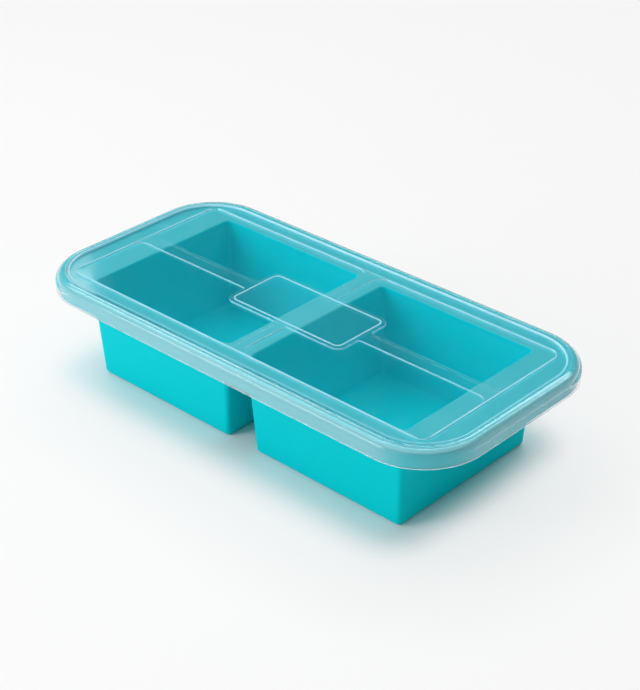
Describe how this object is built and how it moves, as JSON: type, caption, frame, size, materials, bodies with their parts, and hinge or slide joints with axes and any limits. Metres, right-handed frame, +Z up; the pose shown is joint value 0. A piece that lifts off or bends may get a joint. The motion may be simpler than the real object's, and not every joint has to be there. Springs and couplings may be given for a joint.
{
  "type": "baby food freezer tray",
  "caption": "Soft silicone freezing tray with deep square cups side by side under a wide flat rim, and a clear lift-off lid with a low ribbed top.",
  "frame": {"origin": "middle of the footprint, on the surface that the cups stand on", "axes": "+X along the row of cups, +Y across it, +Z up out of the cups"},
  "size_m": [0.287, 0.1408, 0.0602],
  "materials": {
    "silicone": "satin moulded silicone, teal",
    "steel": "drawn stainless wire",
    "clear_plastic": "clear polished plastic"
  },
  "bodies": {
    "tray": {"tray": "silicone", "rim_wire": "steel"},
    "lid": {"lid": "clear_plastic"}
  },
  "joints": [
    {"name": "lid_lift", "type": "slide", "parent": "tray", "child": "lid", "axis": [0, 0, 1], "range_m": [0, 0.08]}
  ]
}
